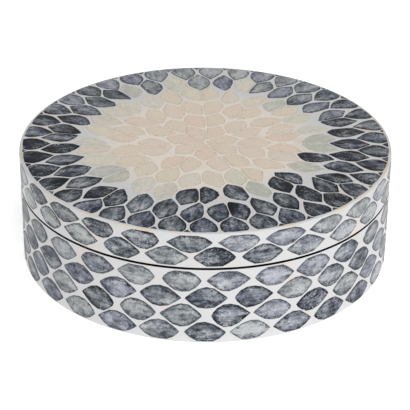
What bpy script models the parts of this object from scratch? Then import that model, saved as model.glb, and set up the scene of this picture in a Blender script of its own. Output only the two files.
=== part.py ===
"""A round decorative box with a lift-off lid, laid with leaf-shaped shell in pale resin.

Each half is a black-painted carcass in a skin of resin, in which the shell leaves stand a little proud.
The origin is the centre of the underside, the lid is up (+Z) and the front is -Y.
"""

import math
import random

import bmesh
import bpy
import numpy as np
from mathutils import Matrix

MM = 0.001

# Outer form
BOX_DIAMETER = 203 * MM
BOX_HEIGHT = 64 * MM
BASE_HEIGHT = 43.8 * MM
REVEAL = 1.0 * MM
TOP_EDGE_RADIUS = 0.8 * MM
TOP_EDGE_STEPS = 2

# Carcasses and skins
SKIN_THICKNESS = 1.8 * MM
WALL_THICKNESS = 8 * MM
FLOOR_THICKNESS = 6 * MM
LID_BOARD_THICKNESS = 6 * MM
RIM_THICKNESS = 3.2 * MM
RIM_HEIGHT = 7 * MM
LID_CLEARANCE = 0.5 * MM
CARCASS_STEPS = 32
GLUE_GAP = 0.3 * MM

# Shell leaves
LEAF_RELIEF = 0.25 * MM
LEAF_BITE = 0.3 * MM
LEAF_JOINT = 0.8 * MM
SIDE_LEAF_LENGTH = 21.3 * MM
SIDE_LEAF_WIDTH = 10.6 * MM
SIDE_LEAF_SHOULDER = 0.4
SIDE_SHIFT = 0.25 * MM
BASE_LEAF_SPACING = 23.6 * MM
BASE_COURSE_PITCH = 10.35 * MM
BASE_LOWEST_COURSE = 6.0 * MM
BASE_COURSES = 4
BASE_PHASE = math.radians(0.3)
LID_LEAF_SPACING = 24.5 * MM
LID_COURSE_PITCH = 8.4 * MM
LID_TOP_COURSE_DEPTH = 5.4 * MM
LID_COURSES = 2
LID_PHASE = math.radians(-3.9)
BOTTOM_MARGIN = 0.8 * MM
SEAM_MARGIN = 0.9 * MM
TOP_MARGIN = 1.5 * MM

TOP_LEAF_WIDTH = 12.6 * MM
TOP_LEAF_SHOULDER = 0.42
TOP_LEAF_SPACING = 12.6 * MM
FIRST_RING_RADIUS = 14.5 * MM
RING_PITCH = 15.6 * MM
TOP_SHIFT = 1.4 * MM
TIP_SOFTNESS = 1.2 * MM
EASING_ROUNDS = 12
EASING = 0.3
EASING_REACH = 1.05
EVENING_ROUNDS = 5
ROOM_SHARE = 0.7
NEIGHBOUR_REACH = 2.5
RIM_BAND = 2.2 * MM
DARK_RINGS = 2
BASE_SEED = 5
LID_SEED = 7
TOP_SEED = 9

RADIUS = BOX_DIAMETER / 2
SKIN_INNER_RADIUS = RADIUS - SKIN_THICKNESS
CARCASS_RADIUS = SKIN_INNER_RADIUS - GLUE_GAP
CAVITY_RADIUS = CARCASS_RADIUS - WALL_THICKNESS
RIM_RADIUS = CAVITY_RADIUS + RIM_THICKNESS
LID_CAVITY_RADIUS = RIM_RADIUS + LID_CLEARANCE
LID_BOARD_TOP = BOX_HEIGHT - SKIN_THICKNESS - GLUE_GAP
LID_BOARD_UNDERSIDE = LID_BOARD_TOP - LID_BOARD_THICKNESS
FRONT = -math.pi / 2
SHARP_ANGLE = math.radians(30)
TOP_LEAF_LONG = 2 * RING_PITCH / math.sqrt(3)


def clear_scene():
    for obj in list(bpy.data.objects):
        bpy.data.objects.remove(obj, do_unlink=True)


def new_collection(name):
    collection = bpy.data.collections.new(name)
    bpy.context.scene.collection.children.link(collection)
    return collection


def new_material(name, color, roughness, metallic=0.0):
    material = bpy.data.materials.new(name)
    material.use_nodes = True
    shader = material.node_tree.nodes["Principled BSDF"]
    shader.inputs["Base Color"].default_value = (*color, 1.0)
    shader.inputs["Roughness"].default_value = roughness
    shader.inputs["Metallic"].default_value = metallic
    return material


def add_object(name, mesh, collection, materials):
    obj = bpy.data.objects.new(name, mesh)
    collection.objects.link(obj)
    for material in materials:
        mesh.materials.append(material)
    return obj


def hide_helper(obj):
    obj.hide_render = True
    obj.display_type = "WIRE"


def turned(name, profile, closed, steps, phase, collection, material):
    """A profile at +X, running down its outer side, turned about Z from the front plus phase."""
    bm = bmesh.new()
    points = [bm.verts.new((radius, 0.0, height)) for radius, height in profile]
    for first, second in zip(points, points[1:]):
        bm.edges.new((first, second))
    if closed:
        bm.edges.new((points[-1], points[0]))
    mesh = bpy.data.meshes.new(name)
    bm.to_mesh(mesh)
    bm.free()
    obj = add_object(name, mesh, collection, [material])
    obj.rotation_euler.z = FRONT + phase
    screw = obj.modifiers.new("Turn", "SCREW")
    screw.steps = steps
    screw.render_steps = steps
    screw.use_merge_vertices = True
    screw.merge_threshold = 0.0001
    screw.use_smooth_shade = False
    return obj


def join_boolean(obj, other, operation):
    boolean = obj.modifiers.new(operation.title(), "BOOLEAN")
    boolean.operation = operation
    boolean.object = other
    boolean.solver = "EXACT"
    boolean.material_mode = "TRANSFER"


def add_leaf(bm, outline, place, depth, material_index):
    """A tile of this outline, its finished face at local Z 0.

    It goes depth down from there, and as far above, so that the cut to the finished surface takes its whole top.
    """
    floor = bm.faces.new([bm.verts.new((x, y, -depth)) for x, y in outline])
    made = bmesh.ops.extrude_face_region(bm, geom=[floor], use_keep_orig=True)["geom"]
    raised = [item for item in made if isinstance(item, bmesh.types.BMVert)]
    bmesh.ops.translate(bm, verts=raised, vec=(0, 0, 2 * depth))
    corners = list(floor.verts) + raised
    bmesh.ops.transform(bm, matrix=place, verts=corners)
    for face in {face for corner in corners for face in corner.link_faces}:
        face.material_index = material_index


def leaf_helper(name, add_leaves, collection, materials):
    """One mesh of all the tiles of an area, cut afterwards to the finished surface."""
    bm = bmesh.new()
    add_leaves(bm)
    bmesh.ops.recalc_face_normals(bm, faces=bm.faces)
    mesh = bpy.data.meshes.new(name)
    bm.to_mesh(mesh)
    bm.free()
    obj = add_object(name, mesh, collection, materials)
    hide_helper(obj)
    return obj


def shade_round(obj):
    """The object's finished mesh, smooth round the turned faces and sharp at its edges."""
    evaluated = obj.evaluated_get(bpy.context.evaluated_depsgraph_get())
    mesh = bpy.data.meshes.new_from_object(evaluated)
    obj.modifiers.clear()
    obj.data = mesh
    mesh.shade_smooth()
    mesh.set_sharp_from_angle(angle=SHARP_ANGLE)


def course_count(spacing):
    """How many leaves go round the wall."""
    return round(2 * math.pi * RADIUS / spacing)


def side_leaves(bm, seed, count, heights, phase):
    """Courses of leaves round the wall, each course half a leaf on from the one before."""
    rng = random.Random(seed)
    step = 2 * math.pi / count
    leaf_sag = RADIUS * (1 - math.cos(SIDE_LEAF_LENGTH / 2 / RADIUS))
    facet_sag = RADIUS * (1 - math.cos(step / 4))
    depth = LEAF_RELIEF + leaf_sag + facet_sag + LEAF_BITE
    tip = SIDE_LEAF_LENGTH / 2
    shoulder = tip * SIDE_LEAF_SHOULDER
    half = SIDE_LEAF_WIDTH / 2
    outline = [(0, -tip), (half, -shoulder), (half, shoulder)]
    outline += [(-x, -y) for x, y in outline]
    for course, height in enumerate(heights):
        for index in range(count):
            angle = FRONT + phase + step * (index + 0.5 * (course % 2))
            lift = rng.uniform(-SIDE_SHIFT, SIDE_SHIFT)
            place = (
                Matrix.Translation((0, 0, height + lift))
                @ Matrix.Rotation(angle, 4, "Z")
                @ Matrix.Translation((RADIUS, 0, 0))
                @ Matrix.Rotation(math.pi / 2, 4, "Y")
            )
            add_leaf(bm, outline, place, depth, 0)


def axes_at(place):
    """The directions outwards and aside at a place on the top."""
    outwards = place / max(np.linalg.norm(place), MM)
    return outwards, np.array((-outwards[1], outwards[0]))


def next_ring(angles, count, rng):
    """The angles of the ring outside: a leaf in each gap of this one, two where there is room, then evened."""
    following = np.append(angles[1:], angles[0] + 2 * math.pi)
    middles = (angles + following) / 2
    halves = (following - angles) / 4
    extra = max(0, count - len(angles))
    start = rng.random()
    doubled = {int((index + start) * len(angles) / extra) for index in range(extra)}
    laid = []
    for index, (middle, half) in enumerate(zip(middles, halves)):
        laid += [middle - half, middle + half] if index in doubled else [middle]
    laid = np.array(laid)
    for _ in range(EVENING_ROUNDS if extra else 0):
        before = np.insert(laid[:-1], 0, laid[-1] - 2 * math.pi)
        after = np.append(laid[1:], laid[0] + 2 * math.pi)
        laid += ((before + after) / 2 - laid) / 2
    return laid


def top_layout():
    """(middles, rings) of the leaves on the top, each in a gap of the ring inside, eased in and out to nest.

    The ring at the rim has as many leaves as the one inside it. The last ring lies outside the rim, and only
    bounds the others.
    """
    rng = random.Random(TOP_SEED)
    middles = []
    rings = []
    radius = FIRST_RING_RADIUS
    count = round(2 * math.pi * radius / TOP_LEAF_SPACING)
    angles = FRONT + 2 * math.pi * np.arange(count) / count
    while radius < RADIUS + RING_PITCH / 2:
        for angle in angles:
            reach = radius + rng.uniform(-TOP_SHIFT, TOP_SHIFT)
            middles.append((reach * math.cos(angle), reach * math.sin(angle)))
        rings += [rings[-1] + 1 if rings else 0] * len(angles)
        radius += RING_PITCH
        if radius < RADIUS - RING_PITCH:
            count = round(2 * math.pi * radius / TOP_LEAF_SPACING)
        angles = next_ring(angles, count, rng)
    middles = np.array(middles)
    for _ in range(EASING_ROUNDS):
        apart = middles[:, None] - middles
        outwards = middles[:, None] + middles
        outwards /= np.maximum(np.linalg.norm(outwards, axis=2, keepdims=True), MM)
        radial = (apart * outwards).sum(axis=2) / TOP_LEAF_LONG
        around = (outwards[..., 0] * apart[..., 1] - outwards[..., 1] * apart[..., 0]) / TOP_LEAF_SPACING
        distance = np.hypot(radial, around)
        np.fill_diagonal(distance, 2.0)
        push = np.clip(EASING_REACH - distance, 0, None) / distance * radial * TOP_LEAF_LONG * EASING
        middles *= 1 + push.sum(axis=1, keepdims=True) / np.linalg.norm(middles, axis=1, keepdims=True)
    return middles, rings


def clipped(outline, normal, limit):
    """What is left of an outline on the near side of a line."""
    kept = []
    for first, second in zip(outline, outline[1:] + outline[:1]):
        before = normal @ first - limit
        after = normal @ second - limit
        if before <= 0:
            kept.append(first)
        if before * after < 0:
            kept.append(first + (second - first) * before / (before - after))
    return kept


def leaf_room(middle, middles):
    """The room that a leaf has between its neighbours, less its half of each joint."""
    outwards, aside = axes_at(middle)
    long_way = outwards * TOP_LEAF_LONG * ROOM_SHARE
    wide_way = aside * TOP_LEAF_SPACING * ROOM_SHARE
    room = [
        middle - long_way - wide_way,
        middle + long_way - wide_way,
        middle + long_way + wide_way,
        middle - long_way + wide_way,
    ]
    for other in middles:
        apart = other - middle
        if not 0 < np.linalg.norm(apart) < NEIGHBOUR_REACH * TOP_LEAF_LONG:
            continue
        halfway = (middle + other) / 2
        outwards, aside = axes_at(halfway)
        normal = outwards * (apart @ outwards) / TOP_LEAF_LONG**2
        normal = normal + aside * (apart @ aside) / TOP_LEAF_SPACING**2
        normal /= np.linalg.norm(normal)
        room = clipped(room, normal, normal @ halfway - LEAF_JOINT / 2)
    return room


def leaf_tips(middle, room):
    """The inner and outer tip: the room's farthest corner each way, or between two about as far out."""
    outwards, _ = axes_at(middle)
    corners = np.array(room)
    tips = []
    for side in (-1, 1):
        along = side * (corners @ outwards)
        pull = np.exp((along - along.max()) / TIP_SOFTNESS)
        tips.append(pull @ corners / pull.sum())
    return tips


def reach_across(room, start, direction):
    """How far a line from inside a room runs until it meets its side."""
    reach = TOP_LEAF_WIDTH
    for first, second in zip(room, room[1:] + room[:1]):
        side = second - first
        normal = np.array((side[1], -side[0]))
        if normal @ direction > 0:
            reach = min(reach, normal @ (first - start) / (normal @ direction))
    return reach


def top_leaf_outline(middle, middles):
    """A leaf with two tips and four shoulders that fill its room."""
    room = leaf_room(middle, middles)
    inner, outer = leaf_tips(middle, room)
    axis = (outer - inner) / np.linalg.norm(outer - inner)
    across = np.array((axis[1], -axis[0]))
    sides = [[], []]
    for station in (-TOP_LEAF_SHOULDER, TOP_LEAF_SHOULDER):
        spot = (inner + outer) / 2 + (outer - inner) / 2 * station
        for side, direction in zip(sides, (across, -across)):
            side.append(spot + direction * min(TOP_LEAF_WIDTH / 2, reach_across(room, spot, direction)))
    return [inner, *sides[0], outer, *reversed(sides[1])]


def top_leaves(bm):
    """Rings of leaves that point outwards, each cut to the room between its neighbours."""
    middles, rings = top_layout()
    place = Matrix.Translation((0, 0, BOX_HEIGHT))
    for middle, ring in zip(middles, rings):
        if ring < rings[-1]:
            tone = 1 if ring >= rings[-1] - DARK_RINGS else 0
            add_leaf(bm, top_leaf_outline(middle, middles), place, LEAF_RELIEF + LEAF_BITE, tone)


def base_carcass(collection, paint):
    """The cup: floor, wall, and the rebated rim that the lid drops over."""
    seat = BASE_HEIGHT - GLUE_GAP / 2
    profile = [
        (0.0, FLOOR_THICKNESS),
        (CAVITY_RADIUS, FLOOR_THICKNESS),
        (CAVITY_RADIUS, BASE_HEIGHT + RIM_HEIGHT),
        (RIM_RADIUS, BASE_HEIGHT + RIM_HEIGHT),
        (RIM_RADIUS, seat),
        (CARCASS_RADIUS, seat),
        (CARCASS_RADIUS, 0.0),
        (0.0, 0.0),
    ]
    return turned("base_carcass", profile, False, CARCASS_STEPS, 0.0, collection, paint)


def lid_carcass(collection, paint):
    """The cap: a board with a short wall that stands on the base's shoulder."""
    lower_edge = BASE_HEIGHT + GLUE_GAP / 2
    profile = [
        (0.0, LID_BOARD_TOP),
        (CARCASS_RADIUS, LID_BOARD_TOP),
        (CARCASS_RADIUS, lower_edge),
        (LID_CAVITY_RADIUS, lower_edge),
        (LID_CAVITY_RADIUS, LID_BOARD_UNDERSIDE),
        (0.0, LID_BOARD_UNDERSIDE),
    ]
    return turned("lid_carcass", profile, False, CARCASS_STEPS, 0.0, collection, paint)


def base_inlay(collection, helpers, resin, shell):
    """The resin round the base's wall with its courses of leaves."""
    count = course_count(BASE_LEAF_SPACING)
    ground = RADIUS - LEAF_RELIEF
    upper_edge = BASE_HEIGHT - REVEAL / 2
    profile = [
        (SKIN_INNER_RADIUS, upper_edge),
        (ground, upper_edge),
        (ground, 0.0),
        (SKIN_INNER_RADIUS, 0.0),
    ]
    skin = turned("base_inlay", profile, True, 2 * count, BASE_PHASE, collection, resin)
    envelope = [
        (0.0, upper_edge - SEAM_MARGIN),
        (RADIUS, upper_edge - SEAM_MARGIN),
        (RADIUS, BOTTOM_MARGIN),
        (0.0, BOTTOM_MARGIN),
    ]
    limit = turned("base_leaf_limit", envelope, False, 2 * count, BASE_PHASE, helpers, shell)
    hide_helper(limit)
    heights = [BASE_LOWEST_COURSE + BASE_COURSE_PITCH * k for k in range(BASE_COURSES)]
    leaves = leaf_helper(
        "base_leaves",
        lambda bm: side_leaves(bm, BASE_SEED, count, heights, BASE_PHASE),
        helpers,
        [shell],
    )
    join_boolean(leaves, limit, "INTERSECT")
    join_boolean(skin, leaves, "UNION")
    return skin


def lid_inlay(collection, helpers, resin, pale_shell, dark_shell):
    """The resin over the lid with the rings of leaves on its top and the courses round its wall."""
    count = course_count(LID_LEAF_SPACING)
    ground = RADIUS - LEAF_RELIEF
    top = BOX_HEIGHT - LEAF_RELIEF
    lower_edge = BASE_HEIGHT + REVEAL / 2
    profile = [(0.0, top)]
    for step in range(TOP_EDGE_STEPS + 1):
        turn = math.pi / 2 * step / TOP_EDGE_STEPS
        radius = ground - TOP_EDGE_RADIUS * (1 - math.sin(turn))
        height = top - TOP_EDGE_RADIUS * (1 - math.cos(turn))
        profile.append((radius, height))
    profile += [
        (ground, lower_edge),
        (SKIN_INNER_RADIUS, lower_edge),
        (SKIN_INNER_RADIUS, BOX_HEIGHT - SKIN_THICKNESS),
        (0.0, BOX_HEIGHT - SKIN_THICKNESS),
    ]
    skin = turned("lid_inlay", profile, False, 2 * count, LID_PHASE, collection, resin)
    side_envelope = [
        (0.0, BOX_HEIGHT - TOP_MARGIN),
        (RADIUS, BOX_HEIGHT - TOP_MARGIN),
        (RADIUS, lower_edge + SEAM_MARGIN),
        (0.0, lower_edge + SEAM_MARGIN),
    ]
    side_limit = turned("lid_side_limit", side_envelope, False, 2 * count, LID_PHASE, helpers, dark_shell)
    hide_helper(side_limit)
    heights = [BOX_HEIGHT - LID_TOP_COURSE_DEPTH - LID_COURSE_PITCH * k for k in range(LID_COURSES)]
    around = leaf_helper(
        "lid_side_leaves",
        lambda bm: side_leaves(bm, LID_SEED, count, heights, LID_PHASE),
        helpers,
        [dark_shell],
    )
    join_boolean(around, side_limit, "INTERSECT")
    top_envelope = [
        (0.0, BOX_HEIGHT),
        (RADIUS - RIM_BAND, BOX_HEIGHT),
        (RADIUS - RIM_BAND, BOX_HEIGHT - SKIN_THICKNESS / 2),
        (0.0, BOX_HEIGHT - SKIN_THICKNESS / 2),
    ]
    top_limit = turned("lid_top_limit", top_envelope, False, 2 * count, LID_PHASE, helpers, dark_shell)
    hide_helper(top_limit)
    over = leaf_helper("lid_top_leaves", top_leaves, helpers, [pale_shell, dark_shell])
    join_boolean(over, top_limit, "INTERSECT")
    join_boolean(skin, around, "UNION")
    join_boolean(skin, over, "UNION")
    return skin


def main():
    clear_scene()
    parts = new_collection("Decorative box")
    helpers = new_collection("Cutters and tiles")
    base_paint = new_material("Black paint, base", (0.012, 0.011, 0.010), 0.55)
    lid_paint = new_material("Black paint, lid", (0.012, 0.011, 0.010), 0.55)
    base_resin = new_material("Resin, base", (0.80, 0.77, 0.72), 0.35)
    lid_resin = new_material("Resin, lid", (0.80, 0.77, 0.72), 0.35)
    dark_shell = new_material("Dyed shell", (0.14, 0.17, 0.21), 0.28)
    pale_shell = new_material("Natural shell", (0.62, 0.55, 0.46), 0.28)
    pieces = [
        base_carcass(parts, base_paint),
        base_inlay(parts, helpers, base_resin, dark_shell),
        lid_carcass(parts, lid_paint),
        lid_inlay(parts, helpers, lid_resin, pale_shell, dark_shell),
    ]
    for piece in pieces:
        shade_round(piece)


main()
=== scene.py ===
"""Round decorative box: leaf-shaped shell laid in pale resin over black-painted carcasses.

Laid out as an add-on and run as a script. The packed solids are the fixed frame. The turned carcasses, the
resin skins and every shell leaf are made here as fine meshes in the space that the solids hold.
"""

import collections
import functools
import math
import random

import bmesh
import bpy
import numpy as np
from bpy.props import FloatProperty, FloatVectorProperty, IntProperty, PointerProperty
from mathutils import Matrix, Vector


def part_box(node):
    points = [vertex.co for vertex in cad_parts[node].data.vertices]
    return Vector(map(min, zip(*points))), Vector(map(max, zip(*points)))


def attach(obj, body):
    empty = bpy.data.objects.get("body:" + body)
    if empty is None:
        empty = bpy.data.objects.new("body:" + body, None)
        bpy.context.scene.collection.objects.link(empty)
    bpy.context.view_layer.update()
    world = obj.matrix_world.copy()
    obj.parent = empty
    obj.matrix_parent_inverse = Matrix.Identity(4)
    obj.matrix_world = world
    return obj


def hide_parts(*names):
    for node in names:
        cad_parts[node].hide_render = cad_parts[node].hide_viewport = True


bl_info = {
    "name": "Decorative shell box",
    "version": (1, 0, 0),
    "blender": (4, 5, 0),
    "location": "3D View > Sidebar > Shell box",
    "description": "Makes a round lidded box with leaf-shaped shell inlay, piece by piece",
    "category": "Object",
}

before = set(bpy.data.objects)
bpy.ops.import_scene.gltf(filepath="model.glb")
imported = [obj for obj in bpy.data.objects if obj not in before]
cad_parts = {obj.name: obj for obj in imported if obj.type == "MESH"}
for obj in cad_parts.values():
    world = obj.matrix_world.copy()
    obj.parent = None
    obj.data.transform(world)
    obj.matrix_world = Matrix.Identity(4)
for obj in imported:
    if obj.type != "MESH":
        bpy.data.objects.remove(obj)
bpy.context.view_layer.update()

MM = 0.001
FRONT = -math.pi / 2
FULL_TURN = 2 * math.pi

# Places read from the frame
BASE_LOW, BASE_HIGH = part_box("base_inlay")
LID_LOW, LID_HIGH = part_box("lid_inlay")
_, CUP_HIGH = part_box("base_carcass")
CAP_LOW, CAP_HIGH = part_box("lid_carcass")
HEIGHT = LID_HIGH.z
RADIUS = min(min(high.x, high.y) for high in (BASE_HIGH, LID_HIGH))
CARCASS_RADIUS = min(CUP_HIGH.x, CAP_HIGH.x)

# The layout of the leaves, as in the solids
BASE_SEED = 5
LID_SEED = 7
TOP_SEED = 9
BASE_LEAF_SPACING = 23.6 * MM
LID_LEAF_SPACING = 24.5 * MM
BASE_PHASE = math.radians(0.3)
LID_PHASE = math.radians(-3.9)
SIDE_SHIFT = 0.25 * MM
BASE_COURSE_PITCH = 10.35 * MM
LID_COURSE_PITCH = 8.4 * MM
TOP_LEAF_SPACING = 12.6 * MM
FIRST_RING_RADIUS = 14.5 * MM
RING_PITCH = 15.6 * MM
TOP_LEAF_LONG = 2 * RING_PITCH / math.sqrt(3)
TOP_SHIFT = 1.4 * MM
EASING_ROUNDS = 12
EASING = 0.3
EASING_REACH = 1.05
EVENING_ROUNDS = 5
ROOM_SHARE = 0.7
BASE_COURSES = 4
BASE_LOWEST_COURSE = 6.0 * MM
LID_COURSES = 2
LID_TOP_COURSE_DEPTH = 5.4 * MM
BOTTOM_MARGIN = 0.8 * MM
SEAM_MARGIN = 0.9 * MM

# The layout's own shifts and margin, which the solids don't have
NEIGHBOUR_REACH = 2.2
ALONG_SPREAD_MM = 0.45
UP_SPREAD_MM = 0.25
TOP_MARGIN = 1.3 * MM

# How a leaf is cut
LEAF_SEGMENTS = 8
TIP_SOFTNESS = 0.8 * MM
LEAST_HALF_WIDTH = 0.06 * MM
BLUNTNESS = 6.0
SOFT_FIT = 12
BENCH_PITCH = 40 * MM
SHARP_ANGLE = math.radians(35)
WELD_DISTANCE = 0.001 * MM
UPWARD = 0.9
PAINTED_SLOPE = 0.3
JOINT_SPREAD = (0.8, 1.35)
WIDTH_SPREAD = (0.9, 1.06)
POWER_SPREAD = (0.9, 1.15)
LEAN = 0.2
WOBBLE_MM = 0.2
LEAST_CUT = 1.5 * MM
TIP_HALF_WIDTH = 0.1 * MM
WALL_RAGGEDNESS = 0.1
TOP_RAGGEDNESS = 0.01
TOP_SLIMMING = 0.4

# The look of the leaves: on dyed shell a tone runs from 0, dark, to 1, light, with its spread beside it
BASE_TONE = (0.67, 0.11)
LID_TONE = (0.78, 0.13)
LEAST_WALL_TONE = 0.05
DEEP_DYED = 0.92
DEEPER_BY = 0.3
TOP_TONE = 0.44
# The dyed top's tone by place: lighter towards the back is a painted sheen, and darker at the sides is
# painted shade
BACK_PAINTED_SHEEN = 0.55
SIDES_PAINTED_SHADE = 0.22
TOP_TONE_SPREAD = 0.1
TOP_TONE_RANGE = (0.02, 0.9)
GREEN_FROM = 0.6
GREEN_RISE = 2.6
GREEN_SPREAD = 0.2
GRAIN_SHIFT = 2.0


def linear(hex_colour):
    """The linear RGB of an sRGB hex colour."""
    channels = [int(hex_colour[i : i + 2], 16) / 255 for i in (1, 3, 5)]
    return tuple(c / 12.92 if c <= 0.04045 else ((c + 0.055) / 1.055) ** 2.4 for c in channels)


def rgba(hex_colour):
    return (*linear(hex_colour), 1.0)


def per(size):
    """The scale of a pattern on coordinates in metres, from the real size of its grain."""
    return 1.0 / size


class LeafSizes(bpy.types.PropertyGroup):
    """Sizes of the shell leaves and of the joints between them."""

    base_width: FloatProperty(
        name="Base leaf width",
        description="Height of a leaf on the base's wall",
        default=13.2 * MM,
        unit="LENGTH",
    )
    lid_width: FloatProperty(
        name="Lid leaf width",
        description="Height of a leaf on the lid's wall",
        default=12.2 * MM,
        unit="LENGTH",
    )
    top_width: FloatProperty(
        name="Top leaf width",
        description="Width of a leaf on the lid's top",
        default=14.8 * MM,
        unit="LENGTH",
    )
    joint: FloatProperty(
        name="Joint", description="Resin between two leaves side by side", default=0.5 * MM, unit="LENGTH"
    )
    relief: FloatProperty(
        name="Relief",
        description="How far the leaves stand proud of the resin",
        default=0.12 * MM,
        unit="LENGTH",
    )
    thickness: FloatProperty(
        name="Thickness", description="Thickness of the shell", default=0.9 * MM, unit="LENGTH"
    )
    edge: FloatProperty(
        name="Worn edge", description="Width of the polished edge of a leaf", default=0.18 * MM, unit="LENGTH"
    )
    fullness: FloatProperty(
        name="Fullness",
        description="Power of the leaf's outline: 2 is a plain lens",
        default=2.15,
        min=1.5,
        max=4.0,
    )


class BodySizes(bpy.types.PropertyGroup):
    """Sizes of the carcasses and of the resin skins."""

    skin: FloatProperty(
        name="Skin thickness", description="Resin and shell over the carcass", default=1.8 * MM, unit="LENGTH"
    )
    top_round: FloatProperty(
        name="Top edge", description="Radius of the lid's upper edge", default=0.9 * MM, unit="LENGTH"
    )
    small_round: FloatProperty(
        name="Small edges",
        description="Radius of the edges at the lid line and the foot",
        default=0.25 * MM,
        unit="LENGTH",
    )
    wall: FloatProperty(
        name="Wall", description="Thickness of the base carcass's wall", default=8.0 * MM, unit="LENGTH"
    )
    floor: FloatProperty(
        name="Floor", description="Thickness of the base's floor", default=6.0 * MM, unit="LENGTH"
    )
    board: FloatProperty(
        name="Lid board", description="Thickness of the lid's board", default=6.0 * MM, unit="LENGTH"
    )
    rim: FloatProperty(
        name="Rim", description="Thickness of the rebated rim", default=3.2 * MM, unit="LENGTH"
    )
    clearance: FloatProperty(
        name="Clearance",
        description="Gap between the rim and the lid's wall",
        default=0.5 * MM,
        unit="LENGTH",
    )
    steps: IntProperty(name="Steps", description="Facets round a turned piece", default=216, min=24, max=720)


class TopLayout(bpy.types.PropertyGroup):
    """Where the leaves on the lid's top are dyed, and where they stop."""

    rim_band: FloatProperty(
        name="Rim band", description="Bare resin at the lid's edge", default=1.7 * MM, unit="LENGTH"
    )
    light_radius: FloatProperty(
        name="Pale field",
        description="Mean radius of the field of undyed leaves",
        default=68.0 * MM,
        unit="LENGTH",
    )
    light_shift: FloatVectorProperty(
        name="Pale field shift",
        description="How far the field of undyed leaves lies off centre, sideways and to the back",
        size=2,
        default=(-3.2 * MM, 8.0 * MM),
        subtype="TRANSLATION",
    )
    light_spread: FloatProperty(
        name="Star edge",
        description="How ragged the edge of the pale field is",
        default=4.5 * MM,
        unit="LENGTH",
    )


class Colours(bpy.types.PropertyGroup):
    """The colours that a user would change."""

    resin: FloatVectorProperty(
        name="Resin", description="Off-white resin", subtype="COLOR", size=3, default=linear("#DADADB")
    )
    paint: FloatVectorProperty(
        name="Paint",
        description="Black paint of the carcasses",
        subtype="COLOR",
        size=3,
        default=linear("#0B0A0A"),
    )
    floor: FloatVectorProperty(
        name="Floor", description="Pale studio floor", subtype="COLOR", size=3, default=linear("#F4F4F4")
    )


def link_object(name, mesh, materials):
    obj = bpy.data.objects.new(name, mesh)
    bpy.context.scene.collection.objects.link(obj)
    for material in materials:
        mesh.materials.append(material)
    return obj


def own(obj, replaced=None):
    """The piece rides on the box's one body, takes its finish from a slot, and may stand for a solid."""
    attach(obj, "root")
    if replaced:
        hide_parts(replaced)


def rounded(corner, start, end, radius, steps=4):
    """The points of a round at a corner of a profile whose sides lead to start and end."""
    corner, start, end = Vector(corner), Vector(start), Vector(end)
    first = (start - corner).normalized() * radius
    last = (end - corner).normalized() * radius
    centre = corner + first + last
    points = []
    for step in range(steps + 1):
        turn = math.pi / 2 * step / steps
        points.append(tuple(centre - last * math.cos(turn) - first * math.sin(turn)))
    return points


def paint_faces(obj, chosen):
    """Gives the chosen faces the object's second material: the edges at the lid line are painted black."""
    for face in obj.data.polygons:
        if chosen(face):
            face.material_index = 1


def turned(name, profile, closed, steps, materials):
    """A profile in the XZ plane, spun once round Z and welded at its seam and poles."""
    bm = bmesh.new()
    points = [bm.verts.new((radius, 0.0, height)) for radius, height in profile]
    edges = [bm.edges.new(pair) for pair in zip(points, points[1:])]
    if closed:
        edges.append(bm.edges.new((points[-1], points[0])))
    bmesh.ops.spin(
        bm,
        geom=points + edges,
        cent=(0, 0, 0),
        axis=(0, 0, 1),
        angle=FULL_TURN,
        steps=steps,
        use_merge=True,
        use_duplicate=False,
    )
    bmesh.ops.remove_doubles(bm, verts=bm.verts, dist=WELD_DISTANCE)
    bmesh.ops.recalc_face_normals(bm, faces=bm.faces)
    mesh = bpy.data.meshes.new(name)
    bm.to_mesh(mesh)
    bm.free()
    mesh.shade_smooth()
    mesh.set_sharp_from_angle(angle=SHARP_ANGLE)
    return link_object(name, mesh, materials)


Leaf = collections.namedtuple("Leaf", "stations middle axis look")
Leaf.__doc__ = """One shell leaf: (along, lower, upper) from tip to tip, its place and axis, and its look."""

Area = collections.namedtuple("Area", "axes long wide width fullness raggedness")
Area.__doc__ = """A lattice: a leaf's two directions at a place, its spacing along them, and how it is cut."""


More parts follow.
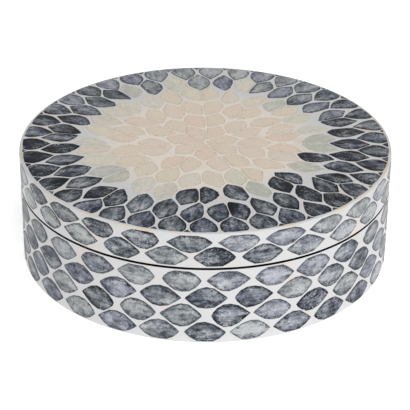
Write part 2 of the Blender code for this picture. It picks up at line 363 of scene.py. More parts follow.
def cut_leaves(name, leaves, sizes, lay, materials):
    """All the leaves of an area as one mesh: cut in a row, given thickness and a worn edge, then laid."""
    bm = bmesh.new()
    grain = bm.loops.layers.uv.new("grain")
    edge_map = bm.loops.layers.uv.new("edge")
    look = bm.verts.layers.float_color.new("look")
    for number, leaf in enumerate(leaves):
        made = bmesh.ops.create_grid(bm, x_segments=LEAF_SEGMENTS, y_segments=1, size=1.0)["verts"]
        for vert in made:
            along, lower, upper = leaf.stations[round((vert.co.x + 1) / 2 * LEAF_SEGMENTS)]
            vert.co = (number * BENCH_PITCH + along, upper if vert.co.y > 0 else lower, -sizes.thickness)
    below = list(bm.faces)
    above = bmesh.ops.extrude_face_region(bm, geom=below, use_keep_orig=True)["geom"]
    raised = [item for item in above if isinstance(item, bmesh.types.BMVert)]
    bmesh.ops.translate(bm, verts=raised, vec=(0, 0, sizes.thickness))
    # Extruding leaves the normals outward. Recalculating them can turn a bent leaf inside out.
    bm.normal_update()
    tops = {face for face in bm.faces if face.normal.z > UPWARD}
    rims = [
        edge
        for edge in bm.edges
        if len(edge.link_faces) == 2 and len(tops.intersection(edge.link_faces)) == 1
    ]
    bmesh.ops.bevel(
        bm,
        geom=rims,
        offset=sizes.edge,
        offset_type="OFFSET",
        segments=1,
        profile=0.5,
        affect="EDGES",
        clamp_overlap=True,
        material=-1,
    )
    bmesh.ops.dissolve_degenerate(bm, dist=WELD_DISTANCE, edges=bm.edges)
    for face in bm.faces:
        for loop in face.loops:
            spot = loop.vert.co
            number = round(spot.x / BENCH_PITCH)
            along = spot.x - number * BENCH_PITCH
            shift = leaves[number].look[3] * GRAIN_SHIFT
            loop[grain].uv = (along + shift, spot.y + shift)
            loop[edge_map].uv = (1.0 if spot.y > 0 else -1.0, abs(spot.y))
    for vert in bm.verts:
        number = round(vert.co.x / BENCH_PITCH)
        leaf = leaves[number]
        vert[look] = leaf.look
        across = np.array((-leaf.axis[1], leaf.axis[0]))
        spot = leaf.middle + leaf.axis * (vert.co.x - number * BENCH_PITCH) + across * vert.co.y
        vert.co = lay(spot, vert.co.z)
    mesh = bpy.data.meshes.new(name)
    bm.to_mesh(mesh)
    bm.free()
    mesh.shade_smooth()
    mesh.set_sharp_from_angle(angle=SHARP_ANGLE)
    return link_object(name, mesh, materials)


def lay_on_wall(spot, lift):
    """A point of the wall's plan, (round the wall, up), bent round the box."""
    angle = spot[0] / RADIUS
    out = RADIUS + lift
    return Vector((out * math.cos(angle), out * math.sin(angle), spot[1]))


def lay_on_top(spot, lift):
    return Vector((spot[0], spot[1], HEIGHT + lift))


def spread(share):
    """Stations from -1 to 1 that crowd a little towards the tips."""
    return math.sin((share - 0.5) * math.pi)


def wall_axes(place):
    return np.array((1.0, 0.0)), np.array((0.0, 1.0))


def top_axes(place):
    """The directions outwards and aside at a place on the top."""
    outwards = place / max(np.linalg.norm(place), MM)
    return outwards, np.array((-outwards[1], outwards[0]))


def wall_layout(seed, spacing, heights, phase):
    """(middles, count): courses round the wall, half a leaf on in turn, then some that only bound these."""
    layout = random.Random(seed)
    shift = random.Random(seed + 50)
    count = round(FULL_TURN * BASE_HIGH.y / spacing)
    step = FULL_TURN / count
    laid, bounds = [], []
    pitch = heights[1] - heights[0]
    for course in range(-1, len(heights) + 1):
        height = heights[0] + pitch * course
        ring = []
        for index in range(count):
            angle = FRONT + phase + step * (index + 0.5 * (course % 2))
            lift = layout.uniform(-SIDE_SHIFT, SIDE_SHIFT) if 0 <= course < len(heights) else 0.0
            around = angle * RADIUS + shift.gauss(0, ALONG_SPREAD_MM) * MM
            ring.append((around, height + lift + shift.gauss(0, UP_SPREAD_MM) * MM))
        if 0 <= course < len(heights):
            laid += ring
        else:
            bounds += ring
        bounds += [(around + FULL_TURN * RADIUS, up) for around, up in ring[:2]]
        bounds += [(around - FULL_TURN * RADIUS, up) for around, up in ring[-2:]]
    return np.array(laid + bounds), len(laid)


def next_ring(angles, count, rng):
    """The angles of the ring outside: a leaf in each gap of this one, two where there is room, evened."""
    following = np.append(angles[1:], angles[0] + FULL_TURN)
    middles = (angles + following) / 2
    halves = (following - angles) / 4
    extra = max(0, count - len(angles))
    start = rng.random()
    doubled = {int((index + start) * len(angles) / extra) for index in range(extra)}
    laid = []
    for index, (middle, half) in enumerate(zip(middles, halves)):
        laid += [middle - half, middle + half] if index in doubled else [middle]
    laid = np.array(laid)
    for _ in range(EVENING_ROUNDS if extra else 0):
        before = np.insert(laid[:-1], 0, laid[-1] - FULL_TURN)
        after = np.append(laid[1:], laid[0] + FULL_TURN)
        laid += ((before + after) / 2 - laid) / 2
    return laid


def top_layout():
    """The middles of the leaves on the top, each in a gap of the ring inside, eased in and out to nest."""
    rng = random.Random(TOP_SEED)
    middles = []
    radius = FIRST_RING_RADIUS
    count = round(FULL_TURN * radius / TOP_LEAF_SPACING)
    angles = FRONT + FULL_TURN * np.arange(count) / count
    while radius < RADIUS + RING_PITCH / 2:
        for angle in angles:
            reach = radius + rng.uniform(-TOP_SHIFT, TOP_SHIFT)
            middles.append((reach * math.cos(angle), reach * math.sin(angle)))
        radius += RING_PITCH
        if radius < RADIUS - RING_PITCH:
            count = round(FULL_TURN * radius / TOP_LEAF_SPACING)
        angles = next_ring(angles, count, rng)
    middles = np.array(middles)
    for _ in range(EASING_ROUNDS):
        apart = middles[:, None] - middles
        outwards = middles[:, None] + middles
        outwards /= np.maximum(np.linalg.norm(outwards, axis=2, keepdims=True), MM)
        radial = (apart * outwards).sum(axis=2) / TOP_LEAF_LONG
        around = (outwards[..., 0] * apart[..., 1] - outwards[..., 1] * apart[..., 0]) / TOP_LEAF_SPACING
        distance = np.hypot(radial, around)
        np.fill_diagonal(distance, 2.0)
        push = np.clip(EASING_REACH - distance, 0, None) / distance * radial * TOP_LEAF_LONG * EASING
        middles *= 1 + push.sum(axis=1, keepdims=True) / np.linalg.norm(middles, axis=1, keepdims=True)
    return middles


def clipped(outline, normal, limit):
    """What is left of an outline on the near side of a line."""
    kept = []
    for first, second in zip(outline, outline[1:] + outline[:1]):
        before = normal @ first - limit
        after = normal @ second - limit
        if before <= 0:
            kept.append(first)
        if before * after < 0:
            kept.append(first + (second - first) * before / (before - after))
    return kept


def leaf_room(middle, middles, area, joint):
    """The room that a leaf has between its neighbours, less its half of each joint."""
    along, aside = area.axes(middle)
    far = along * area.long * ROOM_SHARE
    wide = aside * area.wide * ROOM_SHARE
    room = [middle - far - wide, middle + far - wide, middle + far + wide, middle - far + wide]
    near = middles[np.abs(middles - middle).max(axis=1) < NEIGHBOUR_REACH * area.long]
    for other in near:
        apart = other - middle
        if not apart.any():
            continue
        halfway = (middle + other) / 2
        along, aside = area.axes(halfway)
        normal = along * (apart @ along) / area.long**2 + aside * (apart @ aside) / area.wide**2
        normal /= np.linalg.norm(normal)
        room = clipped(room, normal, normal @ halfway - joint / 2)
    return room


def leaf_tips(middle, room, area):
    """The two tips: the room's farthest corner each way, or between two that reach about as far."""
    along, _ = area.axes(middle)
    corners = np.array(room)
    tips = []
    for side in (-1, 1):
        far = side * (corners @ along)
        pull = np.exp((far - far.max()) / TIP_SOFTNESS)
        tips.append(pull @ corners / pull.sum())
    return tips


def reach_across(room, start, direction):
    """How far a line from inside a room runs until it meets its side."""
    reach = BENCH_PITCH
    for first, second in zip(room, room[1:] + room[:1]):
        side = second - first
        normal = np.array((side[1], -side[0]))
        if normal @ direction > 0:
            reach = min(reach, normal @ (first - start) / (normal @ direction))
    return reach


def fitted_leaf(cut, middle, middles, area, sizes, limits, look):
    """A leaf cut to fill its room, inside limits (normal, distance), or nothing if too little is left."""
    room = leaf_room(middle, middles, area, sizes.joint * cut.uniform(*JOINT_SPREAD))
    first, last = leaf_tips(middle, room, area)
    length = np.linalg.norm(last - first)
    axis = (last - first) / length
    across = np.array((-axis[1], axis[0]))
    half_widths = [area.width / 2 * cut.uniform(*WIDTH_SPREAD) for _ in range(2)]
    lean = [cut.uniform(-LEAN, LEAN) for _ in range(2)]
    tips = [1.0 - abs(cut.gauss(0, area.raggedness)) for _ in range(2)]
    powers = [area.fullness * cut.uniform(*POWER_SPREAD) + BLUNTNESS * (1.0 - tip) for tip in tips]
    ends = list(tips)
    wobble = [cut.uniform(-WOBBLE_MM, WOBBLE_MM) * MM for _ in range(2 * LEAF_SEGMENTS + 2)]
    for normal, limit in limits:
        room = clipped(room, normal, limit)
        if len(room) < 3 or normal @ first > limit - LEAST_CUT:
            return None
        if normal @ last > limit:
            ends[1] = min(ends[1], 2 * (limit - normal @ first) / (normal @ axis) / length - 1)
    stations = []
    for index in range(LEAF_SEGMENTS + 1):
        along = (spread(index / LEAF_SEGMENTS) + 1) / 2 * (ends[0] + ends[1]) - ends[0]
        spot = (first + last) / 2 + axis * along * length / 2
        end = int(along > 0)
        share = along / tips[end]
        inner = 1 - share * share
        sides = []
        for side, direction in enumerate((-across, across)):
            leaned = min(1.0, abs(share + lean[side] * inner))
            half = half_widths[side] * (1 - leaned ** powers[end]) + TIP_HALF_WIDTH
            half += wobble[2 * index + side] * inner
            reach = max(LEAST_HALF_WIDTH, reach_across(room, spot, direction))
            half = max(LEAST_HALF_WIDTH, half)
            sides.append((half**-SOFT_FIT + reach**-SOFT_FIT) ** (-1 / SOFT_FIT))
        stations.append((along * length / 2, -sides[0], sides[1]))
    return Leaf(stations, (first + last) / 2, axis, look)


def wall_leaves(seed, spacing, heights, phase, width, sizes, band, tone, tone_spread):
    """Courses of leaves round the wall, cut flat where a course meets an edge."""
    cut = random.Random(seed + 200)
    pitch = heights[1] - heights[0]
    area = Area(wall_axes, spacing, 2 * abs(pitch), width, sizes.fullness, WALL_RAGGEDNESS)
    limits = [(np.array((0.0, 1.0)), band[1]), (np.array((0.0, -1.0)), -band[0])]
    middles, count = wall_layout(seed, spacing, heights, phase)
    leaves = []
    for middle in middles[:count]:
        dyed = cut.gauss(tone, tone_spread)
        hue, marks, shift = (cut.random() for _ in range(3))
        if marks > DEEP_DYED:
            dyed -= DEEPER_BY
        look = (min(1.0, max(LEAST_WALL_TONE, dyed)), hue, marks, shift)
        leaves.append(fitted_leaf(cut, middle, middles, area, sizes, limits, look))
    return [leaf for leaf in leaves if leaf]


def top_leaves(sizes, layout):
    """The rings of leaves on the lid, as (dyed, undyed) lists: a star of undyed leaves with a ragged edge."""
    cut = random.Random(TOP_SEED + 100)
    fullness = sizes.fullness - TOP_SLIMMING
    area = Area(top_axes, TOP_LEAF_LONG, TOP_LEAF_SPACING, sizes.top_width, fullness, TOP_RAGGEDNESS)
    middles = top_layout()
    dyed, undyed = [], []
    for middle in middles:
        limits = [(top_axes(middle)[0], RADIUS - layout.rim_band)]
        edge = layout.light_radius + cut.uniform(-1, 1) * layout.light_spread
        off = np.linalg.norm(middle - np.array(layout.light_shift))
        # Painted light: the dyed tone is raised towards the back as a painted sheen and lowered at the sides
        # as painted shade
        dark = TOP_TONE + BACK_PAINTED_SHEEN * max(0.0, middle[1] / RADIUS) - SIDES_PAINTED_SHADE * abs(middle[0]) / RADIUS
        dark = min(TOP_TONE_RANGE[1], max(TOP_TONE_RANGE[0], cut.gauss(dark, TOP_TONE_SPREAD)))
        green = (off / edge - GREEN_FROM) * GREEN_RISE + cut.gauss(0, GREEN_SPREAD)
        green = min(1.0, max(0.0, green))
        look = (dark if off > edge else green, cut.random(), cut.random(), cut.random())
        leaf = fitted_leaf(cut, middle, middles, area, sizes, limits, look)
        if leaf:
            (dyed if off > edge else undyed).append(leaf)
    return dyed, undyed


def add_node(tree, kind, inputs=(), stops=(), **settings):
    """Adds a shader node: its settings, values, nodes or sockets on its inputs, stops on its ramp."""
    node = tree.nodes.new(kind)
    for name, value in settings.items():
        setattr(node, name, value)
    for socket, value in inputs.items() if isinstance(inputs, dict) else enumerate(inputs):
        if isinstance(value, bpy.types.Node):
            value = next(output for output in value.outputs if output.enabled)
        if isinstance(value, bpy.types.NodeSocket):
            tree.links.new(value, node.inputs[socket])
        else:
            node.inputs[socket].default_value = value
    if stops:
        ramp = node.color_ramp
        while len(ramp.elements) < len(stops):
            ramp.elements.new(1.0)
        for element, (position, colour) in zip(ramp.elements, stops):
            element.position = position
            element.color = rgba(colour)
    return node


def new_material(name):
    material = bpy.data.materials.new(name)
    material.use_nodes = True
    return material, material.node_tree, material.node_tree.nodes["Principled BSDF"]


def grey(value):
    return (value, value, value, 1.0)


Shell = collections.namedtuple("Shell", "name tones tints light dark depth edge_depth roughness")
Shell.__doc__ = """A finish: ramps of tones and tints, fleck and crack colours, how strong, how rough."""


def shell_material(shell):
    """Shell, sawn, ground flush and polished: clouds, flakes and cracks, and darker places at the edge."""
    material, tree, shader = new_material(shell.name)
    add = functools.partial(add_node, tree)
    grain = add("ShaderNodeUVMap", uv_map="grain")
    edge = add("ShaderNodeSeparateXYZ", [add("ShaderNodeUVMap", uv_map="edge")])
    look = add("ShaderNodeAttribute", attribute_name="look").outputs["Color"]
    look = add("ShaderNodeSeparateColor", [look])
    tone, hue, marks = (look.outputs[channel] for channel in ("Red", "Green", "Blue"))

    # The growth of the shell runs along a leaf
    warp = add(
        "ShaderNodeTexNoise", {"Vector": grain, "Scale": per(2.0 * MM), "Detail": 3.0}
    ).outputs["Color"]
    warp = add("ShaderNodeVectorMath", [warp, (0.5, 0.5, 0.5)], operation="SUBTRACT")
    warp = add("ShaderNodeVectorMath", {0: warp, "Scale": 2.4 * MM}, operation="SCALE")
    bent = add("ShaderNodeVectorMath", [grain, warp], operation="ADD")
    flow = add("ShaderNodeMapping", {"Vector": bent, "Scale": (0.6, 1.0, 1.0)})
    patches = add("ShaderNodeTexNoise", {"Vector": flow, "Scale": per(8.0 * MM), "Detail": 2.0})
    clouds = add(
        "ShaderNodeTexNoise", {"Vector": flow, "Scale": per(2.6 * MM), "Detail": 4.0, "Roughness": 0.65}
    )
    drawn_out = add("ShaderNodeMapping", {"Vector": bent, "Scale": (0.22, 1.0, 1.0)})
    streaks = add("ShaderNodeTexNoise", {"Vector": drawn_out, "Scale": per(1.5 * MM), "Detail": 3.0})
    flakes = add("ShaderNodeTexVoronoi", {"Vector": bent, "Scale": per(1.7 * MM)})
    flakes = add("ShaderNodeSeparateColor", [flakes.outputs["Color"]])
    fine = add(
        "ShaderNodeTexNoise", {"Vector": grain, "Scale": per(0.8 * MM), "Detail": 2.0, "Roughness": 0.7}
    )

    # Tone of the leaf, lighter and darker across it, and darker towards parts of its edge
    level = add("ShaderNodeMath", [tone, -1.9 * shell.depth], operation="ADD")
    for part, strength in ((patches, 1.3), (clouds, 0.9), (streaks, 0.9), (flakes, 0.1), (fine, 0.6)):
        level = add("ShaderNodeMath", [part, strength * shell.depth, level], operation="MULTIPLY_ADD")
    inside = add("ShaderNodeMath", [edge.outputs[0]], operation="ABSOLUTE")
    inside = add("ShaderNodeMath", [1.0, inside], operation="SUBTRACT")
    inside = add("ShaderNodeMath", [inside, edge.outputs[1]], operation="MULTIPLY")
    ragged = add("ShaderNodeMath", [clouds, 3.0 * MM, -1.5 * MM], operation="MULTIPLY_ADD")
    ragged = add("ShaderNodeMath", [ragged, inside], operation="ADD")
    shade = add("ShaderNodeMapRange", [ragged, 0.0, 2.2 * MM, 0.65 * shell.edge_depth, 0.0])
    where = add("ShaderNodeMapRange", [patches, 0.4, 0.6, 0.2, 1.0])
    shade = add("ShaderNodeMath", [shade, where], operation="MULTIPLY")
    level = add("ShaderNodeMath", [level, shade], operation="SUBTRACT")
    body = add("ShaderNodeValToRGB", [level], shell.tones)
    tint = add("ShaderNodeValToRGB", [hue], shell.tints)
    body = add("ShaderNodeMix", {0: 1.0, 6: body, 7: tint}, data_type="RGBA", blend_type="MULTIPLY")

    # Pale veins and flecks, then dark pits, cracks and the thin dark line at the edge
    vein = add(
        "ShaderNodeTexNoise", {"Vector": flow, "Scale": per(3.0 * MM), "Detail": 3.0, "Distortion": 1.2}
    )
    vein = add("ShaderNodeMath", [vein, 0.5], operation="SUBTRACT")
    vein = add("ShaderNodeMath", [vein], operation="ABSOLUTE")
    fleck = add(
        "ShaderNodeTexNoise", {"Vector": grain, "Scale": per(1.2 * MM), "Detail": 3.0, "Roughness": 0.65}
    )
    pit = add("ShaderNodeTexNoise", {"Vector": bent, "Scale": per(1.5 * MM), "Detail": 4.0, "Roughness": 0.7})
    crack = add("ShaderNodeTexVoronoi", {"Vector": bent, "Scale": per(3.4 * MM)}, feature="DISTANCE_TO_EDGE")
    thin = add("ShaderNodeMath", [fine, 0.8 * MM, inside], operation="MULTIPLY_ADD")
    layers = (
        ([vein, 0.0, 0.03, 0.75, 0.0], [patches, 0.45, 0.6, 0.0, 1.0], shell.light, shell.depth),
        ([fleck, 0.61, 0.67, 0.0, 0.9], [marks, 0.2, 0.9, 0.0, 1.0], shell.light, shell.depth),
        ([pit, 0.55, 0.6, 0.0, 0.95], [inside, 1.2 * MM, 3.6 * MM, 1.0, 0.1], shell.dark, shell.edge_depth),
        ([crack, 0.0, 0.08, 0.55, 0.0], [clouds, 0.4, 0.5, 1.0, 0.0], shell.dark, shell.edge_depth),
        ([thin, 0.5 * MM, 1.1 * MM, 1.0, 0.0], [clouds, 0.4, 0.6, 0.1, 1.0], shell.dark, shell.edge_depth),
    )
    for drawn, area, colour, strength in layers:
        drawn = add("ShaderNodeMapRange", drawn)
        area = add("ShaderNodeMapRange", area)
        drawn = add("ShaderNodeMath", [drawn, area], operation="MULTIPLY")
        drawn = add("ShaderNodeMath", [drawn, strength], operation="MULTIPLY")
        body = add("ShaderNodeMix", {0: drawn, 6: body, 7: rgba(colour)}, data_type="RGBA")
    tree.links.new(body.outputs[2], shader.inputs["Base Color"])
    gloss = add("ShaderNodeMapRange", [clouds, 0.3, 0.7, shell.roughness, shell.roughness + 0.14])
    tree.links.new(gloss.outputs[0], shader.inputs["Roughness"])
    bump = add("ShaderNodeBump", {"Strength": 0.3, "Distance": 0.04 * MM, "Height": clouds})
    tree.links.new(bump.outputs[0], shader.inputs["Normal"])
    shader.inputs["IOR"].default_value = 1.53
    shader.inputs["Specular IOR Level"].default_value = 0.12
    return material


def dyed_shell():
    """River shell, dyed, ground flush and polished: blue-grey, near black to near white in one leaf."""
    tones = ((0.0, "#12151D"), (0.2, "#2F353F"), (0.42, "#5F6670"), (0.65, "#8A8F97"), (1.0, "#BBBEC0"))
    tints = ((0.0, "#F6F2FF"), (0.45, "#FFFFFF"), (0.75, "#FFFEFA"), (1.0, "#F8FBF4"))
    name = "Dyed river shell, ground and polished"
    return shell_material(Shell(name, tones, tints, "#D4D8DA", "#0E0F15", 1.0, 0.85, 0.3))


def natural_shell():
    """River shell, undyed, ground flush and polished: pinkish cream, grey-green at the star's edge."""
    tones = ((0.0, "#EBDACB"), (0.22, "#E5D8C7"), (0.48, "#E6DED1"), (0.75, "#D5D3C9"), (1.0, "#BFC2BA"))
    tints = ((0.0, "#FFFAF6"), (0.5, "#FFFFFF"), (0.8, "#FEFFF8"), (1.0, "#FCFEFA"))
    name = "Natural river shell, ground and polished"
    return shell_material(Shell(name, tones, tints, "#F4ECE0", "#8F8676", 0.8, 0.35, 0.34))


def resin_material(colour):
    """Filled resin, ground flush and polished: off-white, creamier among pale leaves, with warm stains."""
    material, tree, shader = new_material("Filled resin, ground and polished")
    add = functools.partial(add_node, tree)
    place = add("ShaderNodeTexCoord").outputs["Object"]
    flat = add("ShaderNodeVectorMath", [place, (1, 1, 0)], operation="MULTIPLY")
    out = add("ShaderNodeVectorMath", [flat], operation="LENGTH")
    moved = add("ShaderNodeMapping", {"Vector": place, "Location": (0.4, 0.4, 0.0)})
    pink = add("ShaderNodeTexNoise", {"Vector": place, "Scale": per(24 * MM), "Detail": 3.0})
    straw = add("ShaderNodeTexNoise", {"Vector": moved, "Scale": per(15 * MM), "Detail": 3.0})
    dust = add("ShaderNodeTexNoise", {"Vector": place, "Scale": per(0.9 * MM), "Detail": 2.0})
    height = add("ShaderNodeSeparateXYZ", [place]).outputs["Z"]
    edge = add("ShaderNodeMath", [height, HEIGHT, 2.5 * MM], operation="COMPARE")
    rim = add("ShaderNodeMapRange", [out, RADIUS - 5 * MM, RADIUS, 0.0, 1.0])
    rim = add("ShaderNodeMath", [rim, edge], operation="MULTIPLY")
    stained = add("ShaderNodeMapRange", [straw, 0.5, 0.62, 0.0, 1.0])
    rim = add("ShaderNodeMath", [rim, stained], operation="MULTIPLY")
    layers = (
        ([out, 46 * MM, 68 * MM, 0.9, 0.0], "#F5EADC"),
        ([pink, 0.58, 0.72, 0.0, 0.7], "#E6D3C8"),
        ([straw, 0.60, 0.72, 0.0, 0.5], "#DAD3BA"),
        ([dust, 0.62, 0.75, 0.0, 0.35], "#C9C4BB"),
        ([rim, 0.2, 0.8, 0.0, 0.5], "#E0CDB4"),
    )
    body = (*colour, 1.0)
    for drawn, stain in layers:
        drawn = add("ShaderNodeMapRange", drawn)
        body = add("ShaderNodeMix", {0: drawn, 6: body, 7: rgba(stain)}, data_type="RGBA")
    tree.links.new(body.outputs[2], shader.inputs["Base Color"])
    bump = add("ShaderNodeBump", {"Strength": 0.2, "Distance": 0.05 * MM, "Height": dust})
    tree.links.new(bump.outputs[0], shader.inputs["Normal"])
    shader.inputs["Roughness"].default_value = 0.38
    shader.inputs["IOR"].default_value = 1.54
    shader.inputs["Specular IOR Level"].default_value = 0.15
    return material


def paint_material(colour):
    """Black paint on board, brushed by hand: dead black in the groove, with faint brush marks."""
    material, tree, shader = new_material("Black paint, brushed on board")
    add = functools.partial(add_node, tree)
    place = add("ShaderNodeTexCoord").outputs["Object"]
    bristles = (per(30 * MM), per(1.5 * MM), per(6 * MM))
    streaks = add("ShaderNodeMapping", {"Vector": place, "Scale": bristles})
    brush = add("ShaderNodeTexNoise", {"Vector": streaks, "Scale": 1.0, "Detail": 4.0})
    body = add("ShaderNodeMix", {0: brush, 6: (*colour, 1.0), 7: rgba("#17151B")}, data_type="RGBA")
    tree.links.new(body.outputs[2], shader.inputs["Base Color"])
    gloss = add("ShaderNodeMapRange", [brush, 0.3, 0.7, 0.45, 0.65])
    tree.links.new(gloss.outputs[0], shader.inputs["Roughness"])
    shader.inputs["Specular IOR Level"].default_value = 0.2
    bump = add("ShaderNodeBump", {"Strength": 0.3, "Distance": 0.08 * MM, "Height": brush})
    tree.links.new(bump.outputs[0], shader.inputs["Normal"])
    return material


class SHELLBOX_OT_base_carcass(bpy.types.Operator):
    """Turns the black-painted cup with its floor and rebated rim"""

    bl_idname = "shellbox.base_carcass"
    bl_label = "Base carcass"

    def execute(self, context):
        sizes = context.scene.shellbox_body
        cavity = CARCASS_RADIUS - sizes.wall
        rim = cavity + sizes.rim
        seat = BASE_HIGH.z + (CAP_LOW.z - BASE_HIGH.z) / 2
        soft = sizes.small_round
        profile = [(0.0, sizes.floor), (cavity, sizes.floor)]
        profile += rounded((cavity, CUP_HIGH.z), (cavity, 0), (rim, CUP_HIGH.z), soft * 2)
        profile += rounded((rim, CUP_HIGH.z), (cavity, CUP_HIGH.z), (rim, seat), soft * 2)
        profile += [(rim, seat)]
        profile += rounded((CARCASS_RADIUS, seat), (rim, seat), (CARCASS_RADIUS, 0), soft)
        profile += rounded((CARCASS_RADIUS, 0), (CARCASS_RADIUS, seat), (0, 0), soft * 2)
        profile += [(0.0, 0.0)]
        paint = paint_material(context.scene.shellbox_colours.paint)
        own(turned("base_cup", profile, False, sizes.steps, [paint]), "base_carcass")
        return {"FINISHED"}


class SHELLBOX_OT_lid_carcass(bpy.types.Operator):
    """Turns the black-painted cap that the lid is built on"""

    bl_idname = "shellbox.lid_carcass"
    bl_label = "Lid carcass"

    def execute(self, context):
        sizes = context.scene.shellbox_body
        cavity = CARCASS_RADIUS - sizes.wall + sizes.rim + sizes.clearance
        under = CAP_HIGH.z - sizes.board
        soft = sizes.small_round
        profile = [(0.0, CAP_HIGH.z)]
        profile += rounded(
            (CARCASS_RADIUS, CAP_HIGH.z), (0, CAP_HIGH.z), (CARCASS_RADIUS, CAP_LOW.z), soft * 2
        )
        profile += rounded(
            (CARCASS_RADIUS, CAP_LOW.z), (CARCASS_RADIUS, CAP_HIGH.z), (cavity, CAP_LOW.z), soft
        )
        profile += rounded((cavity, CAP_LOW.z), (CARCASS_RADIUS, CAP_LOW.z), (cavity, under), soft)
        profile += [(cavity, under), (0.0, under)]
        paint = paint_material(context.scene.shellbox_colours.paint)
        own(turned("lid_cap", profile, False, sizes.steps, [paint]), "lid_carcass")
        return {"FINISHED"}


class SHELLBOX_OT_resin(bpy.types.Operator):
    """Turns the two skins of pale resin that hold the leaves"""

    bl_idname = "shellbox.resin"
    bl_label = "Resin skins"

    def execute(self, context):
        sizes = context.scene.shellbox_body
        ground = RADIUS - context.scene.shellbox_leaves.relief
        top = HEIGHT - context.scene.shellbox_leaves.relief
        inner = RADIUS - sizes.skin
        soft = sizes.small_round
        resin = resin_material(context.scene.shellbox_colours.resin)
        paint = paint_material(context.scene.shellbox_colours.paint)
        upper, lower = BASE_HIGH.z, BASE_LOW.z
        base = rounded((inner, upper), (inner, lower), (ground, upper), soft)
        base += rounded((ground, upper), (inner, upper), (ground, lower), soft)
        base += rounded((ground, lower), (ground, upper), (inner, lower), soft)
        base += rounded((inner, lower), (ground, lower), (inner, upper), soft)
        base_skin = turned("base_resin", base, True, sizes.steps, [resin, paint])
        paint_faces(base_skin, lambda face: face.normal.z > PAINTED_SLOPE)
        own(base_skin, "base_inlay")
        edge = LID_LOW.z
        under = HEIGHT - sizes.skin
        lid = [(0.0, top)]
        lid += rounded((ground, top), (0, top), (ground, edge), sizes.top_round, 6)
        lid += rounded((ground, edge), (ground, top), (inner, edge), soft)
        lid += rounded((inner, edge), (ground, edge), (inner, under), soft)
        lid += [(inner, under), (0.0, under)]
        lid_skin = turned("lid_resin", lid, False, sizes.steps, [resin, paint])
        paint_faces(lid_skin, lambda face: face.normal.z < -PAINTED_SLOPE)
        own(lid_skin, "lid_inlay")
        return {"FINISHED"}


class SHELLBOX_OT_base_leaves(bpy.types.Operator):
    """Cuts the four courses of leaves round the base and lays them"""

    bl_idname = "shellbox.base_leaves"
    bl_label = "Base leaves"

    def execute(self, context):
        sizes = context.scene.shellbox_leaves
        heights = [BASE_LOWEST_COURSE + BASE_COURSE_PITCH * course for course in range(BASE_COURSES)]
        band = (BOTTOM_MARGIN, BASE_HIGH.z - SEAM_MARGIN)
        leaves = wall_leaves(
            BASE_SEED, BASE_LEAF_SPACING, heights, BASE_PHASE, sizes.base_width, sizes, band, *BASE_TONE
        )
        own(cut_leaves("base_leaves", leaves, sizes, lay_on_wall, [dyed_shell()]))
        return {"FINISHED"}


class SHELLBOX_OT_lid_wall_leaves(bpy.types.Operator):
    """Cuts the two courses of leaves round the lid and lays them"""

    bl_idname = "shellbox.lid_wall_leaves"
    bl_label = "Lid wall leaves"

    def execute(self, context):
        sizes = context.scene.shellbox_leaves
        heights = [HEIGHT - LID_TOP_COURSE_DEPTH - LID_COURSE_PITCH * course for course in range(LID_COURSES)]
        band = (LID_LOW.z + SEAM_MARGIN, HEIGHT - TOP_MARGIN)
        leaves = wall_leaves(
            LID_SEED, LID_LEAF_SPACING, heights, LID_PHASE, sizes.lid_width, sizes, band, *LID_TONE
        )
        own(cut_leaves("lid_wall_leaves", leaves, sizes, lay_on_wall, [dyed_shell()]))
        return {"FINISHED"}


class SHELLBOX_OT_top_leaves(bpy.types.Operator):
    """Cuts the rings of leaves on the lid's top, dyed outside and undyed inside, and lays them"""

    bl_idname = "shellbox.top_leaves"
    bl_label = "Top leaves"

    def execute(self, context):
        sizes = context.scene.shellbox_leaves
        dyed, undyed = top_leaves(sizes, context.scene.shellbox_top)
        own(cut_leaves("top_dyed_leaves", dyed, sizes, lay_on_top, [dyed_shell()]))
        own(cut_leaves("top_natural_leaves", undyed, sizes, lay_on_top, [natural_shell()]))
        return {"FINISHED"}


class SHELLBOX_OT_stage(bpy.types.Operator):
    """Sets the pale floor, the soft studio light and the camera"""

    bl_idname = "shellbox.stage"
    bl_label = "Stage"

    def execute(self, context):
        scene = context.scene
        bm = bmesh.new()
        bmesh.ops.create_grid(bm, x_segments=1, y_segments=1, size=6.0)
        mesh = bpy.data.meshes.new("floor")
        bm.to_mesh(mesh)
        bm.free()
        material, _, shader = new_material("Pale studio floor")
        shader.inputs["Base Color"].default_value = (*scene.shellbox_colours.floor, 1.0)
        shader.inputs["Roughness"].default_value = 0.9
        shader.inputs["Emission Color"].default_value = grey(1.0)
        shader.inputs["Emission Strength"].default_value = 0.6
        link_object("floor", mesh, [material])
        world = bpy.data.worlds.new("Studio")
        scene.world = world
        world.use_nodes = True
        world.node_tree.nodes["Background"].inputs["Color"].default_value = grey(1.0)
        world.node_tree.nodes["Background"].inputs["Strength"].default_value = 0.14
        add_light("key", (0.7, -1.7, 2.9), (2.2, 2.2), 93.0)
        add_light("back", (0.0, 0.6, 0.27), (0.7, 0.14), 0.3)
        add_camera(scene)
        scene.view_settings.view_transform = "Standard"
        return {"FINISHED"}


def add_light(name, place, size, power):
    light = bpy.data.lights.new(name, "AREA")
    light.shape = "RECTANGLE"
    light.size, light.size_y = size
    light.energy = power
    obj = bpy.data.objects.new(name, light)
    bpy.context.scene.collection.objects.link(obj)
    obj.location = place
    obj.rotation_euler = (Vector((0, 0, HEIGHT / 2)) - obj.location).to_track_quat("-Z", "Y").to_euler()
    obj.visible_camera = False


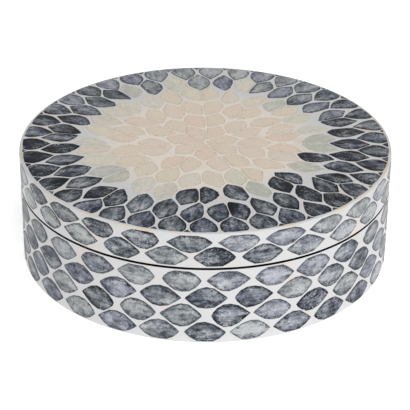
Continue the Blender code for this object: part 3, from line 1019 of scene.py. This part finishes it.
def add_camera(scene):
    """The photo's view: elevation, distance and aim worked out from the outline of the box in the photo."""
    elevation = math.radians(30.09)
    distance = 4.48 * 2 * BASE_HIGH.y
    aim_down = elevation - math.radians(1.363)
    roll = math.radians(0.564)
    focal_pixels = 1608
    image_pixels = 410
    data = bpy.data.cameras.new("photo_camera")
    data.sensor_width = 36.0
    data.lens = data.sensor_width * focal_pixels / image_pixels
    data.clip_start = 0.05
    data.clip_end = 20.0
    camera = bpy.data.objects.new("photo_camera", data)
    scene.collection.objects.link(camera)
    ahead = Vector((0, math.cos(aim_down), -math.sin(aim_down)))
    right = Matrix.Rotation(-roll, 3, ahead) @ Vector((1, 0, 0))
    up = right.cross(ahead)
    pose = Matrix((right, up, -ahead)).transposed().to_4x4()
    pose.translation = Vector((0, -distance * math.cos(elevation), distance * math.sin(elevation)))
    camera.matrix_world = pose
    scene.camera = camera


OPERATORS = (
    SHELLBOX_OT_base_carcass,
    SHELLBOX_OT_lid_carcass,
    SHELLBOX_OT_resin,
    SHELLBOX_OT_base_leaves,
    SHELLBOX_OT_lid_wall_leaves,
    SHELLBOX_OT_top_leaves,
    SHELLBOX_OT_stage,
)


class SHELLBOX_PT_panel(bpy.types.Panel):
    """Lists the pieces of the box and their sizes"""

    bl_label = "Shell box"
    bl_idname = "SHELLBOX_PT_panel"
    bl_space_type = "VIEW_3D"
    bl_region_type = "UI"
    bl_category = "Shell box"

    def draw(self, context):
        layout = self.layout
        for group in GROUPS:
            column = layout.column(align=True)
            settings = getattr(context.scene, group)
            for name in settings.bl_rna.properties.keys():
                if name not in ("rna_type", "name"):
                    column.prop(settings, name)
        for operator in OPERATORS:
            layout.operator(operator.bl_idname)


GROUPS = {
    "shellbox_leaves": LeafSizes,
    "shellbox_body": BodySizes,
    "shellbox_top": TopLayout,
    "shellbox_colours": Colours,
}


def register():
    for group in GROUPS.values():
        bpy.utils.register_class(group)
    for operator in OPERATORS:
        bpy.utils.register_class(operator)
    bpy.utils.register_class(SHELLBOX_PT_panel)
    for name, group in GROUPS.items():
        setattr(bpy.types.Scene, name, PointerProperty(type=group))


def unregister():
    for name in GROUPS:
        delattr(bpy.types.Scene, name)
    bpy.utils.unregister_class(SHELLBOX_PT_panel)
    for operator in reversed(OPERATORS):
        bpy.utils.unregister_class(operator)
    for group in reversed(list(GROUPS.values())):
        bpy.utils.unregister_class(group)


def main():
    register()
    bpy.ops.shellbox.base_carcass()
    bpy.ops.shellbox.lid_carcass()
    bpy.ops.shellbox.resin()
    bpy.ops.shellbox.base_leaves()
    bpy.ops.shellbox.lid_wall_leaves()
    bpy.ops.shellbox.top_leaves()
    bpy.ops.shellbox.stage()


if __name__ == "__main__":
    main()
